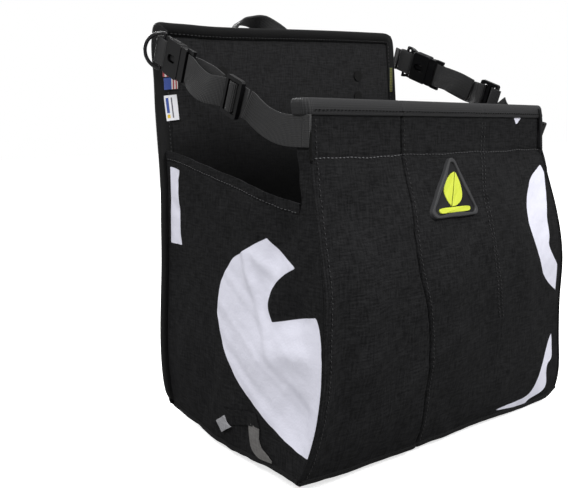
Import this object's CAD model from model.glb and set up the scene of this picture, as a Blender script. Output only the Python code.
import math
import random

import bpy
import numpy as np
from mathutils import Matrix, Vector


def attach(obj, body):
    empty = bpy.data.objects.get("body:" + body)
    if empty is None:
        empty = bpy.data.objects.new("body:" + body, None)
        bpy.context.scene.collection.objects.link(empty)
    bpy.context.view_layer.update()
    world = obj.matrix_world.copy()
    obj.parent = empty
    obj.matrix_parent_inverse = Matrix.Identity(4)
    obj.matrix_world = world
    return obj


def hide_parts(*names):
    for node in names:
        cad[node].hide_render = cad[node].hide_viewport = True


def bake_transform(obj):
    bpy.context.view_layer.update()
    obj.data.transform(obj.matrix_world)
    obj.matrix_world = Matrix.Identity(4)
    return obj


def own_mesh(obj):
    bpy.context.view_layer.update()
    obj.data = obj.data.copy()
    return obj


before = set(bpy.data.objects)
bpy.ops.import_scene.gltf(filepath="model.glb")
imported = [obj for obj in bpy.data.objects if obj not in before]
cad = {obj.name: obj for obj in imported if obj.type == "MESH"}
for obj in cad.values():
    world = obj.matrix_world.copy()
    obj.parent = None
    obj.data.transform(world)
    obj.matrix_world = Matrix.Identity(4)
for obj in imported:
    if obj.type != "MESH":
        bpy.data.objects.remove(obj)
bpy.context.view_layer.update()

MM = 0.001
random.seed(7)

# ---------------------------------------------------------------- sizes, mm, as in the CAD
HALF_FLOOR, HALF_TOP, BACK_H, FRONT_H = 178.0, 160.0, 385.0, 300.0
BULGE, FRONT_Y = 18.0, -112.0
RADIUS = ((FRONT_H / 2) ** 2 + BULGE**2) / (2 * BULGE)
BACK_IN, BACK_MID = 106.0, 109.5
SIDE_START = BACK_IN - 0.8  # where the side walls begin, just in front of the back
FLANGE_Y = -104.0  # where the folding side walls end
LEAN = math.atan((HALF_FLOOR - HALF_TOP) / BACK_H)


def half_width(z):
    """Half the bag's width at a height."""
    return HALF_FLOOR + (HALF_TOP - HALF_FLOOR) * z / BACK_H


def arc(z):
    """Depth of the plain bulging front at a height."""
    z = np.clip(z, -12, 312)
    return FRONT_Y - BULGE + RADIUS - np.sqrt(RADIUS**2 - (z - FRONT_H / 2) ** 2)


def knots(x, pairs):
    """Smooth curve through (x, value) pairs."""
    xs = np.array([p[0] for p in pairs], float)
    ys = np.array([p[1] for p in pairs], float)
    x = np.clip(np.asarray(x, float), xs[0], xs[-1])
    slope = np.gradient(ys, xs)
    i = np.clip(np.searchsorted(xs, x) - 1, 0, len(xs) - 2)
    h = xs[i + 1] - xs[i]
    t = (x - xs[i]) / h
    a = (2 * t**3 - 3 * t**2 + 1) * ys[i] + (t**3 - 2 * t**2 + t) * h * slope[i]
    b = (-2 * t**3 + 3 * t**2) * ys[i + 1] + (t**3 - t**2) * h * slope[i + 1]
    return a + b


def step(x, a, b):
    """Smooth rise from 0 at a to 1 at b."""
    t = np.clip((np.asarray(x, float) - a) / (b - a), 0, 1)
    return t * t * (3 - 2 * t)


def ridge(y, z, start, stop, width, depth):
    """Soft fold along a line, signed by depth."""
    a, d = np.array(start, float), np.array(stop, float) - np.array(start, float)
    t = np.clip(((y - a[0]) * d[0] + (z - a[1]) * d[1]) / (d @ d), 0, 1)
    gap = np.hypot(y - a[0] - t * d[0], z - a[1] - t * d[1])
    return depth * np.exp(-((gap / width) ** 2)) * (0.1 + 0.9 * np.sin(math.pi * (0.1 + 0.8 * t)))


# ---------------------------------------------------------------- the sewn shape of the bag
# Each front seam's depth from the plain arc, as (height, depth).
SEAM_LEFT = [
    (-10, 3), (0, 2), (20, -4), (44, -8.5), (74, -11), (113, -9.5),
    (155, -8), (192, -2), (232, 2.4), (262, 2.5), (302, -2),
]
SEAM_RIGHT = [
    (-10, -3), (6, -2.5), (50, 5), (91, 9.5), (142, 9.5),
    (194, 15), (230, 21), (255, 24.5), (292, 19.5), (302, 19),
]
# How far the right seam lies inside the bag's plain width.
SEAM_RIGHT_INSET = [(-10, 6), (20, 1), (60, 1.5), (150, 1), (230, 3), (302, 0)]
# Left edge of the back, as (height, place across).
BACK_LEFT = [
    (-8, -170), (0, -174), (14, -176), (160, -171.5), (205, -169.4),
    (245, -166.2), (290, -163.8), (330, -163), (370, -163), (388, -158),
]
# Soft folds of a side wall: start and end as (depth, height), width and signed depth.
FOLDS_SIDE = [
    ((-98, 214), (-66, 160), 13, 4.6),
    ((-30, 182), (-74, 92), 6.5, -4.2),
    ((-34, 180), (-74, 160), 6, -2.4),
    ((-92, 150), (-104, 118), 13, 6.0),
    ((-126, 136), (-78, 122), 9, 2.6),
    ((-74, 96), (-130, 104), 10, -3.0),
    ((-86, 66), (-128, 30), 21, 7.0),
    ((-20, 96), (-78, 76), 16, -2.6),
    ((-46, 150), (-66, 110), 9, 2.8),
    ((-30, 226), (-62, 176), 11, -2.2),
    ((60, 240), (30, 150), 20, 3.0),
    ((10, 232), (-10, 190), 14, 1.8),
    ((92, 110), (60, 20), 12, -2.8),
    ((84, 200), (92, 60), 7, 2.0),
    ((20, 60), (40, 12), 11, 3.0),
    ((-40, 46), (-30, 4), 8, 2.8),
    ((-14, 40), (-6, 2), 6, -2.0),
]


def ripple(a, b, size, seed):
    """Soft random unevenness, about -1 to 1, with features near the given size."""
    k = 2 * math.pi / size
    waves = ((1.0, 0.35, 0.5), (-0.45, 0.9, 0.45), (0.8, -1.3, 0.3), (1.7, 0.9, 0.2), (-1.2, 2.0, 0.15))
    value = 0.0
    for i, (p, q, share) in enumerate(waves):
        bend = 0.8 * np.sin(k * 0.4 * (a - b) + seed + i)
        value = value + share * np.sin(k * (p * a + q * b) + seed * (i + 1.7) + bend)
    return value


def seam(sign, z):
    """Place across and depth of the left (-1) or right (1) front seam at a height."""
    if sign < 0:
        return -half_width(z) + 0 * z, arc(z) + knots(z, SEAM_LEFT)
    return half_width(z) - knots(z, SEAM_RIGHT_INSET), arc(z) + knots(z, SEAM_RIGHT)


def back_left(z):
    """Place across of the back's left edge at a height."""
    return knots(z, BACK_LEFT)


def back_curl(x, z):
    """How far the upper left edge of the back curls backwards."""
    return 13.0 * step(z, 196, 312) * step(x, -122, -165) ** 1.3


def back_right(z):
    """Place across of the back's right edge at a height."""
    return 178 - 25 * z / 386


def side_share(y, y_seam):
    """Share of a side wall, from the back to its front seam, at which y lies."""
    return (y - SIDE_START) / (y_seam - SIDE_START)


def side_bottom(f, z):
    """How far the lower edge of a side wall hangs."""
    wave = 1.3 * np.sin(9.0 * f + 0.6) * np.sin(math.pi * f)
    belly = -7.0 * np.sin(math.pi * np.clip(f * 1.05, 0, 1)) ** 0.8
    return (belly - 3.0 * step(f, 0.85, 1.0) + wave) * step(z, 55, 0)


def side_point(sign, f, z):
    """Point of a side wall: f 0 at the back edge, 1 at the front seam."""
    f, z = np.broadcast_arrays(np.asarray(f, float), np.asarray(z, float))
    x_back = back_left(z) + 4.0 if sign < 0 else back_right(z) - 3.0
    x_front, y_front = seam(sign, z)
    y = SIDE_START + (y_front - SIDE_START) * f
    x = x_back + (x_front - x_back) * f
    y = y + back_curl(x, z) * np.clip(1 - f, 0, 1) ** 6
    belly = np.sin(math.pi * np.clip(f, 0, 1)) * np.sin(math.pi * np.clip(z / 250, 0, 1))
    out = 3.0 * belly
    for a, b, width, depth in FOLDS_SIDE:
        out = out - ridge(y, z, a, b, width, depth)
    out = out + 0.9 * ripple(y, z, 62, 3.1) + 0.35 * ripple(y, z, 24, 1.3)
    out = out * step(1 - f, 0.0, 0.1) * step(f, 0, 0.06)
    return np.stack([x + sign * out, y, z + side_bottom(f, z)], -1)


# Two upright seams of the front, as (height, share of the front's width).
PLEAT = [
    (-12, 0.385), (5, 0.38), (59, 0.364), (96, 0.357),
    (168, 0.312), (217, 0.32), (255, 0.319), (302, 0.324),
]
SEAM_TWO = [
    (-12, 0.677), (16, 0.677), (60, 0.682), (103, 0.661), (124, 0.645), (151, 0.636),
    (198, 0.631), (224, 0.642), (243, 0.664), (272, 0.681), (302, 0.686),
]
FRONT_SPAN = 330.0
TUCK = 257.0  # height of the crease sewn across the front
# Height of the front's lower edge, by share of its width.
BOTTOM_SAG = [(0, -3), (0.15, -7), (0.4, -9), (0.7, -10), (0.9, -12), (0.96, -10), (1, -5)]
# Soft folds of the front: start and end as (x, height), width and signed depth.
FOLDS_FRONT = [
    ((-156, 238), (-108, 186), 14, -2.6),
    ((-152, 196), (-150, 22), 12, -5.4),
    ((-126, 176), (-116, 40), 15, 3.2),
    ((-96, 170), (-84, 20), 15, -2.4),
    ((-72, 236), (-84, 150), 10, 1.6),
    ((-26, 190), (-6, 40), 18, 2.4),
    ((20, 160), (58, 24), 13, -2.4),
    ((44, 236), (30, 150), 12, 1.8),
    ((80, 220), (112, 60), 15, 2.6),
    ((96, 250), (76, 190), 9, -1.6),
    ((-60, 60), (-120, 10), 13, 2.4),
    ((104, 60), (60, 4), 12, 2.2),
    ((-20, 40), (10, 2), 9, -1.8),
]


def front_end(sign):
    """The front's share at its left (-1) or right (1) end."""
    return 0.0 if sign < 0 else 1.0


def front_point(u, z):
    """Point of the front: u 0 at the left seam, 1 at the right seam."""
    u, z = np.broadcast_arrays(np.asarray(u, float), np.asarray(z, float))
    (xl, yl), (xr, yr) = seam(-1, z), seam(1, z)
    x = xl + (xr - xl) * u
    y = yl + (yr - yl) * u
    soft = step(z, 262, 215)
    y = y - 5.0 * np.sin(math.pi * np.clip(u, 0, 1)) * np.sin(math.pi * np.clip(z / 262, 0, 1))
    lift = 0 * y
    for a, b, width, depth in FOLDS_FRONT:
        lift = lift + ridge(x, z, a, b, width, depth)
    lift = lift + 0.8 * ripple(x, z, 70, 0.4) + 0.3 * ripple(x, z, 26, 2.2)
    lift = lift * (0.12 + 0.88 * soft) * step(u, 0, 0.06) * step(1 - u, 0, 0.06)
    groove = (u - knots(z, PLEAT)) * FRONT_SPAN
    lift = lift - 2.6 * np.exp(-((groove / 1.5) ** 2))
    lift = lift + 1.3 * step(groove, 0, -1.5) * np.exp(-np.abs(groove) / 18)
    second = (u - knots(z, SEAM_TWO)) * FRONT_SPAN
    lift = lift - 0.5 * np.exp(-((second / 1.3) ** 2)) * (0.4 + 0.6 * step(z, 150, 262))
    lift = lift - 0.9 * np.exp(-(((z - TUCK) / 1.8) ** 2))
    sag = knots(u, BOTTOM_SAG) * step(z, 60, 0)
    drop = -7.5 * u * step(z, 120, 300)
    return np.stack([x, y - lift, z + sag + drop], -1)


# ---------------------------------------------------------------- meshes
def unit(rows):
    """Each row vector at length 1."""
    return rows / np.linalg.norm(rows, axis=1)[:, None]


def run_along(points):
    """Distance along a line of points, at each point."""
    return np.concatenate([[0], np.cumsum(np.linalg.norm(np.diff(points, axis=0), axis=1))])


def set_uv(mesh, name, values):
    """Map named name, from a pair of values at each point."""
    layer = mesh.uv_layers.new(name=name)
    index = np.zeros(len(mesh.loops), int)
    mesh.loops.foreach_get("vertex_index", index)
    flat = np.asarray(values, float).reshape(-1, 2)
    layer.data.foreach_set("uv", flat[index].astype(np.float32).ravel())


def mesh_object(name, points, faces, uv=None, smooth=True):
    """Mesh from points in mm, with its cloth coordinates in metres."""
    mesh = bpy.data.meshes.new(name)
    mesh.from_pydata((np.asarray(points, float).reshape(-1, 3) * MM).tolist(), [], faces)
    mesh.validate()
    obj = bpy.data.objects.new(name, mesh)
    bpy.context.scene.collection.objects.link(obj)
    if uv is not None:
        set_uv(mesh, "cloth", np.asarray(uv, float) * MM)
    if smooth:
        mesh.shade_smooth()
    return obj


def grid_faces(rows, cols, start=0, wrap=False):
    """Faces of a grid of points, its last column joined to its first where it wraps."""
    faces = []
    for i in range(rows - 1):
        for j in range(cols if wrap else cols - 1):
            k = (j + 1) % cols
            a, b = start + i * cols + j, start + i * cols + k
            faces.append((a, b, b + cols, a + cols))
    return faces


def sheet(name, points, uv, thickness, offset=-1.0, inner=0):
    """Cloth from a grid of points, thickened; inner is the material step for its far face."""
    rows, cols = points.shape[:2]
    obj = mesh_object(name, points, grid_faces(rows, cols), uv)
    mod = obj.modifiers.new("thickness", "SOLIDIFY")
    mod.thickness = thickness * MM
    mod.offset = offset
    mod.use_even_offset = False
    mod.material_offset = inner
    split = obj.modifiers.new("rim", "EDGE_SPLIT")
    split.split_angle = math.radians(50)
    return obj


def attribute(obj, name, values):
    """A number at each point, read by a material."""
    layer = obj.data.attributes.new(name, "FLOAT", "POINT")
    layer.data.foreach_set("value", np.asarray(values, np.float32).ravel())


def sweep(name, path, across, outline, closed=False):
    """Outline of (a, b) swept along path: a runs along the across vector, b along the third axis."""
    path, across = np.asarray(path, float), np.asarray(across, float)
    if across.ndim == 1:
        across = np.repeat(across[None], len(path), 0)
    tangent = np.gradient(path, axis=0)
    if closed:
        tangent = np.roll(path, -1, 0) - np.roll(path, 1, 0)
    tangent = unit(tangent)
    across = unit(across - (across * tangent).sum(1)[:, None] * tangent)
    third = np.cross(tangent, across)
    outline = np.asarray(outline, float)
    points = path[:, None] + across[:, None] * outline[None, :, :1] + third[:, None] * outline[None, :, 1:]
    uv = np.stack(np.meshgrid(run_along(outline), run_along(path)), -1)
    rows, cols = len(path), len(outline)
    last = (rows - 1) * cols
    faces = grid_faces(rows, cols, wrap=True)
    if closed:
        faces += [(last + j, last + (j + 1) % cols, (j + 1) % cols, j) for j in range(cols)]
    else:
        faces.append(tuple(range(cols))[::-1])
        faces.append(tuple(last + j for j in range(cols)))
    return mesh_object(name, points, faces, uv)


def flat_outline(width, thickness, soft=0.45):
    """Flat band with softly rounded edges."""
    w, t = width / 2, thickness / 2
    r = thickness * soft
    half = [
        (-w, -t + r), (-w + 0.4 * r, -t + 0.15 * r), (-w + 1.5 * r, -t), (0, -t),
        (w - 1.5 * r, -t), (w - 0.4 * r, -t + 0.15 * r), (w, -t + r),
    ]
    return half + [(-a, -b) for a, b in half]


def round_outline(radius, count=10, height=None):
    """Circle, or an ellipse where a height is given."""
    turns = [2 * math.pi * i / count for i in range(count)]
    return [(radius * math.cos(t), (height or radius) * math.sin(t)) for t in turns]


def resample(points, spacing):
    """The same line with its points evenly spaced."""
    points = np.asarray(points, float)
    run = run_along(points)
    count = max(2, int(round(run[-1] / spacing)) + 1)
    at = np.linspace(0, run[-1], count)
    return np.stack([np.interp(at, run, points[:, i]) for i in range(points.shape[1])], -1)


def spline(points, spacing):
    """Smooth line through points, evenly spaced."""
    """Smooth curve through a few points, evenly spaced."""
    p = np.asarray(points, float)
    p = np.vstack([2 * p[0] - p[1], p, 2 * p[-1] - p[-2]])
    out = []
    for a, b, c, d in zip(p, p[1:], p[2:], p[3:]):
        for t in np.linspace(0, 1, 24, endpoint=False):
            bend = (2 * a - 5 * b + 4 * c - d) * t**2 + (3 * b - a - 3 * c + d) * t**3
            out.append(0.5 * (2 * b + (c - a) * t + bend))
    out.append(p[-2])
    return resample(out, spacing)


def follow_fold(obj):
    """The piece shortens towards the back as the front folds in."""
    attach(obj, "bag_back")
    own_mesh(obj)


def dress(obj, body, *materials, nodes=(), slot=None):
    """Give a piece its body (None: it folds), its materials, the CAD nodes it replaces and its slot."""
    for material in materials:
        obj.data.materials.append(material)
    if nodes:
        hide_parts(*nodes)
    if body:
        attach(obj, body)
    else:
        follow_fold(obj)
    return obj


def stitches(name, lines, material, body, length=2.6, gap=1.5, radius=0.42):
    """Rows of small thread stitches along lines of surface points, each line given with its normal."""
    points, faces = [], []
    ring = round_outline(radius, 5)
    for line, normal in lines:
        line = resample(line, (length + gap) / 2)
        for i in range(0, len(line) - 1, 2):
            a, b = line[i], line[i + 1]
            d = b - a
            n = np.asarray(normal, float)
            d = d / max(np.linalg.norm(d), 1e-6)
            side = np.cross(d, n)
            side /= max(np.linalg.norm(side), 1e-6)
            up = np.cross(side, d)
            jitter = random.uniform(-0.18, 0.18)
            start = len(points)
            for f, lift, grow in ((-0.1, -0.35, 0.4), (0.2, 0.3, 1.0), (0.8, 0.3, 1.0), (1.1, -0.35, 0.4)):
                c = a + (b - a) * f + up * lift + side * jitter
                points += [c + side * grow * x + up * grow * y * 0.7 for x, y in ring]
            faces += grid_faces(4, 5, start, wrap=True)
    dress(mesh_object(name, points, faces), body, material)


# ---------------------------------------------------------------- materials
BANDS = 0.31416  # scale of a band texture whose bands lie one unit apart


def new_material(name):
    """Material with its node tree and surface node."""
    mat = bpy.data.materials.new(name)
    mat.use_nodes = True
    tree = mat.node_tree
    bsdf = tree.nodes["Principled BSDF"]
    return mat, tree, bsdf


def link(tree, value, socket):
    """Feed a socket from another node, or with a number or a colour."""
    if isinstance(value, bpy.types.NodeSocket):
        tree.links.new(value, socket)
    elif isinstance(value, tuple) and socket.type == "RGBA":
        socket.default_value = (*value, 1)
    else:
        socket.default_value = value


def node(tree, kind, inputs=None, **settings):
    """Node with its settings and what feeds its inputs, by name or number."""
    n = tree.nodes.new(kind)
    for key, value in settings.items():
        setattr(n, key, value)
    for key, value in (inputs or {}).items():
        link(tree, value, n.inputs[key])
    return n


def maths(tree, operation, a, b):
    return node(tree, "ShaderNodeMath", {0: a, 1: b}, operation=operation).outputs[0]


def weighted(tree, *terms):
    """Sum of (socket, weight) terms."""
    total = None
    for value, weight in terms:
        part = maths(tree, "MULTIPLY", value, weight)
        total = part if total is None else maths(tree, "ADD", total, part)
    return total


def coordinate(tree, scale=(1, 1, 1)):
    """Cloth coordinates from the mesh, in metres, times scale."""
    source = node(tree, "ShaderNodeUVMap", uv_map="cloth").outputs[0]
    return node(tree, "ShaderNodeMapping", {"Vector": source, "Scale": scale}).outputs[0]


def wave(tree, vector, scale, direction, distortion=0.0):
    feed = {"Vector": vector, "Scale": scale, "Distortion": distortion, "Detail": 1.0}
    bands = node(tree, "ShaderNodeTexWave", feed, wave_type="BANDS", bands_direction=direction)
    return bands.outputs["Fac"]


def noise_fac(tree, vector, scale, detail=3.0, rough=0.5):
    feed = {"Vector": vector, "Scale": scale, "Detail": detail, "Roughness": rough}
    return node(tree, "ShaderNodeTexNoise", feed).outputs["Fac"]


def mix_colour(tree, fac, a, b):
    return node(tree, "ShaderNodeMix", {0: fac, 6: a, 7: b}, data_type="RGBA").outputs[2]


def mix_value(tree, fac, a, b):
    return node(tree, "ShaderNodeMix", {0: fac, 2: a, 3: b}, data_type="FLOAT").outputs[0]


def ramp(tree, value, low, high):
    feed = {"Value": value, "From Min": low, "From Max": high}
    return node(tree, "ShaderNodeMapRange", feed, interpolation_type="SMOOTHSTEP").outputs["Result"]


def bump(tree, height, distance, strength, normal=None):
    feed = {"Height": height, "Distance": distance, "Strength": strength}
    if normal is not None:
        feed["Normal"] = normal
    return node(tree, "ShaderNodeBump", feed).outputs["Normal"]


def surface(tree, bsdf, **looks):
    """Set the surface's inputs, named with _ for a space."""
    for key, value in looks.items():
        link(tree, value, bsdf.inputs[key.replace("_", " ")])


PRINT_WHITE = (0.82, 0.82, 0.93)


def woven(name, dark, light, roughness, pitch, relief, printed=False, fade=None):
    """Plain-woven cloth: crossing threads, slubs and mottling.

    printed adds a smooth print from the mesh; fade dulls the cloth below two heights, in metres.
    """
    mat, tree, bsdf = new_material(name)
    uv = coordinate(tree)
    band = BANDS / (pitch * MM)
    threads = maths(tree, "ADD", wave(tree, uv, band, "X", 0.6), wave(tree, uv, band, "Y", 0.6))
    slub_x = noise_fac(tree, coordinate(tree, (1.0, 0.14, 1.0)), 620.0, 2.0)
    slub_y = noise_fac(tree, coordinate(tree, (0.14, 1.0, 1.0)), 620.0, 2.0)
    slubs = maths(tree, "ADD", slub_x, slub_y)
    fine = noise_fac(tree, uv, 480.0, 3.0, 0.6)
    broad = noise_fac(tree, uv, 22.0, 4.0, 0.6)
    tone = weighted(tree, (slubs, 0.62), (broad, 0.2), (fine, 0.34))
    colour = mix_colour(tree, ramp(tree, tone, 0.60, 1.18), dark, light)
    if fade:
        place = node(tree, "ShaderNodeTexCoord").outputs["Object"]
        up = node(tree, "ShaderNodeSeparateXYZ", {0: place}).outputs[2]
        colour = mix_colour(tree, ramp(tree, up, *fade), tuple(c * 0.25 for c in dark), colour)
    rough = mix_value(tree, broad, roughness - 0.05, roughness + 0.06)
    height = weighted(tree, (threads, 0.35), (slubs, 0.9))
    wrinkle = bump(tree, noise_fac(tree, uv, 38.0, 4.0, 0.6), 0.004, 0.4)
    specular = 0.03
    if printed:
        edge = node(tree, "ShaderNodeAttribute", attribute_name="print").outputs["Fac"]
        inside = ramp(tree, edge, -0.25, 0.25)
        tint = mix_colour(tree, broad, tuple(c * 0.94 for c in PRINT_WHITE), PRINT_WHITE)
        colour = mix_colour(tree, inside, colour, tint)
        rough = mix_value(tree, inside, rough, 0.42)
        height = maths(tree, "MULTIPLY", height, mix_value(tree, inside, 1.0, 0.15))
        specular = mix_value(tree, inside, specular, 0.4)
    normal = bump(tree, height, relief * MM, 0.9, wrinkle)
    surface(tree, bsdf, Base_Color=colour, Roughness=rough, Normal=normal, Specular_IOR_Level=specular)
    surface(tree, bsdf, Sheen_Weight=0.002, Sheen_Roughness=0.45)
    return mat


def ribbed(name, dark, light, pitch=1.5, relief=0.35, roughness=0.62):
    """Webbing: ribs across the band, with a finer herringbone along it."""
    mat, tree, bsdf = new_material(name)
    uv = coordinate(tree)
    ribs = wave(tree, uv, BANDS / (pitch * MM), "Y", 0.4)
    threads = wave(tree, uv, BANDS / (pitch * 0.9 * MM), "X", 0.8)
    fine = noise_fac(tree, uv, 1100.0, 2.0)
    height = maths(tree, "ADD", ribs, maths(tree, "MULTIPLY", threads, 0.45))
    colour = mix_colour(tree, ramp(tree, weighted(tree, (ribs, 0.55), (fine, 0.6)), 0.25, 1.0), dark, light)
    rough = mix_value(tree, fine, roughness - 0.08, roughness + 0.08)
    surface(tree, bsdf, Base_Color=colour, Roughness=rough, Normal=bump(tree, height, relief * MM, 0.9))
    surface(tree, bsdf, Specular_IOR_Level=0.2, Sheen_Weight=0.02)
    return mat


def moulded(name, colour, roughness, grain=0.05, scratch=0.15, metallic=0.0, specular=0.5):
    """Moulded plastic, rubber or bare metal with a fine grain and faint wear, in object space."""
    mat, tree, bsdf = new_material(name)
    place = node(tree, "ShaderNodeTexCoord").outputs["Object"]
    fine = noise_fac(tree, place, 1400.0, 2.0)
    broad = noise_fac(tree, place, 60.0, 4.0, 0.65)
    worn = ramp(tree, broad, 0.52, 0.75)
    shade = tuple(min(1.0, c * 1.5 + 0.012) for c in colour)
    colour = mix_colour(tree, maths(tree, "MULTIPLY", worn, scratch), colour, shade)
    rough = mix_value(tree, worn, roughness, min(1.0, roughness + 0.14))
    surface(tree, bsdf, Base_Color=colour, Roughness=rough, Normal=bump(tree, fine, grain * MM, 0.6))
    surface(tree, bsdf, Metallic=metallic, Specular_IOR_Level=specular)
    return mat


def striped_label(name, ground, patches):
    """Woven label cloth; patches are (x0, x1, y0, y1, colour) in shares of its face."""
    mat, tree, bsdf = new_material(name)
    place = node(tree, "ShaderNodeUVMap", uv_map="share").outputs[0]
    split = node(tree, "ShaderNodeSeparateXYZ", {0: place})
    colour = ground
    for x0, x1, y0, y1, tone in patches:
        inside = 1.0
        for here, low, high in ((split.outputs[0], x0, x1), (split.outputs[1], y0, y1)):
            for test, limit in (("GREATER_THAN", low), ("LESS_THAN", high)):
                inside = maths(tree, "MULTIPLY", maths(tree, test, here, limit), inside)
        colour = mix_colour(tree, inside, colour, tone)
    threads = wave(tree, coordinate(tree), BANDS / (0.6 * MM), "Y")
    surface(tree, bsdf, Base_Color=colour, Roughness=0.6, Normal=bump(tree, threads, 0.15 * MM, 0.7))
    return mat


BLACK, BLACK_HIGH = (0.0080, 0.0080, 0.0084), (0.0225, 0.0225, 0.0235)
LINING, LINING_HIGH = (0.0140, 0.0140, 0.0145), (0.0300, 0.0300, 0.0310)
cloth = woven("coated_cloth", BLACK, BLACK_HIGH, 0.7, 1.1, 0.34, printed=True)
plain_cloth = woven("plain_cloth", BLACK, BLACK_HIGH, 0.7, 1.1, 0.34)
lining = woven("lining_cloth", LINING, LINING_HIGH, 0.75, 0.9, 0.2, fade=(0.21, 0.33))
tape = ribbed("edge_tape", (0.0016, 0.0016, 0.0018), (0.0075, 0.0075, 0.008), 1.0, 0.18, 0.7)
webbing = ribbed("webbing", (0.015, 0.015, 0.0155), (0.052, 0.052, 0.053))
plastic = moulded("buckle_plastic", (0.005, 0.005, 0.0055), 0.36, 0.03, specular=0.2)
ring_mat = moulded("ring_plastic", (0.008, 0.008, 0.009), 0.2, 0.02, specular=0.5)
hook_mat = moulded("hook_plastic", (0.014, 0.014, 0.015), 0.45, 0.06)
rubber = moulded("badge_rubber", (0.034, 0.034, 0.036), 0.55, 0.08, specular=0.3)
black_rubber = moulded("badge_black", (0.009, 0.009, 0.010), 0.6, 0.08, specular=0.2)
lime = moulded("badge_lime", (0.62, 0.70, 0.045), 0.5, 0.05, 0.05)
steel = moulded("steel", (0.42, 0.42, 0.43), 0.3, 0.03, 0.3, 1.0)
black_steel = moulded("black_steel", (0.006, 0.006, 0.006), 0.6, 0.03, 0.3, 0.0, 0.15)
thread_dark = moulded("thread_dark", (0.020, 0.020, 0.021), 0.6)
thread_black = moulded("thread_black", (0.004, 0.004, 0.004), 0.7, specular=0.1)
thread_mid = moulded("thread_mid", (0.045, 0.045, 0.047), 0.6)
thread_grey = moulded("thread_grey", (0.10, 0.10, 0.104), 0.6)
hem_band = ribbed("hem_band", (0.015, 0.015, 0.016), (0.029, 0.029, 0.030), 1.1, 0.12, 0.6)
silver_tape = woven("silver_tape", (0.26, 0.26, 0.275), (0.44, 0.44, 0.46), 0.42, 0.8, 0.15)
grey_tape = woven("grey_tape", (0.13, 0.125, 0.122), (0.20, 0.195, 0.19), 0.5, 0.8, 0.15)
elastic_mat = ribbed("elastic_cover", (0.006, 0.006, 0.0065), (0.03, 0.03, 0.032), 1.8, 0.5)


# ---------------------------------------------------------------- printed patches
def inside_distance(p, q, outline):
    """Signed distance to a closed outline, positive inside."""
    outline = np.asarray(outline, float)
    best = np.full(p.shape, 1e9)
    inside = np.zeros(p.shape, bool)
    for (x0, y0), (x1, y1) in zip(outline, np.roll(outline, -1, 0)):
        dx, dy = x1 - x0, y1 - y0
        t = np.clip(((p - x0) * dx + (q - y0) * dy) / (dx * dx + dy * dy), 0, 1)
        best = np.minimum(best, np.hypot(p - x0 - t * dx, q - y0 - t * dy))
        crosses = (y0 > q) != (y1 > q)
        inside ^= crosses & (p < dx * (q - y0) / (dy if dy else 1e-9) + x0)
    return np.where(inside, best, -best)


def curved(*runs):
    """Closed outline smooth along each run of points, with a corner where one run meets the next."""
    out = []
    for run, following in zip(runs, runs[1:] + runs[:1]):
        out += [tuple(p) for p in spline([*run, following[0]], 2.5)[:-1]]
    return out


# Outlines of the print, measured in the photo through its camera and rounded to whole mm:
# (y, z) on the left side wall, (distance across, height) on the front.
SIDE_PATCHES = [
    curved(
        [(-64, 191), (-78, 181), (-92, 176)],
        [(-102, 171), (-88, 164), (-74, 153), (-68, 142), (-67, 133)],
        [(-72, 122), (-104, 130)],
        [
            (-127, 136), (-131, 128), (-134, 116), (-135, 104),
            (-140, 84), (-139, 76), (-132, 60), (-129, 48),
        ],
        [
            (-120, 22), (-108, 22), (-99, 24), (-73, 33), (-59, 40), (-42, 48),
            (-21, 62), (-5, 82), (3, 95), (6, 107), (10, 116), (8, 127),
            (5, 144), (-9, 162), (-18, 170), (-32, 176), (-48, 184),
        ],
    ),
    [(100, 244), (83, 241), (85, 232), (83, 198), (77, 169), (88, 169), (100, 169)],
]
FRONT_PATCHES = [
    curved(
        [
            (321, 240), (304, 232), (292, 224), (282, 209), (276, 195),
            (273, 178), (279, 158), (289, 132), (301, 118),
        ],
        [(320, 104)],
        [
            (320, 132), (309, 145), (304, 156), (307, 163),
            (308, 171), (310, 186), (322, 223), (324, 232),
        ],
    ),
    curved(
        [(316, 58), (309, 49), (293, 22), (286, 12), (272, 8)],
        [
            (228, 5), (243, 3), (277, 1), (285, 4), (298, 6), (307, 9),
            (309, 14), (307, 25), (309, 31), (316, 34), (317, 43),
        ],
    ),
    [(279, 289), (292, 289), (283, 282)],
]


NO_PRINT = -9.0  # print distance of cloth without any


def patch_field(p, q, patches):
    """Signed distance into the nearest printed patch, in mm."""
    return np.max([inside_distance(p, q, outline) for outline in patches], axis=0)


# ---------------------------------------------------------------- side walls, folding with the front
# Height of a side wall's sloping top at a depth.
SIDE_TOP = [(-110, 221), (-104, 221.5), (-70, 226.5), (-23, 236), (40, 247.5), (95, 258), (106, 259)]


HEM = 9.6  # width of the hem along that top


def side_cut(sign, z):
    """Share of the side wall's width that belongs to the folding part."""
    return side_share(FLANGE_Y, seam(sign, z)[1])


def dense(stops, counts):
    """Parameter values through stops, with a count of steps in each stretch."""
    out = [stops[0]]
    for a, b, n in zip(stops, stops[1:], counts):
        out += list(np.linspace(a, b, n + 1)[1:])
    return np.array(out)


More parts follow.
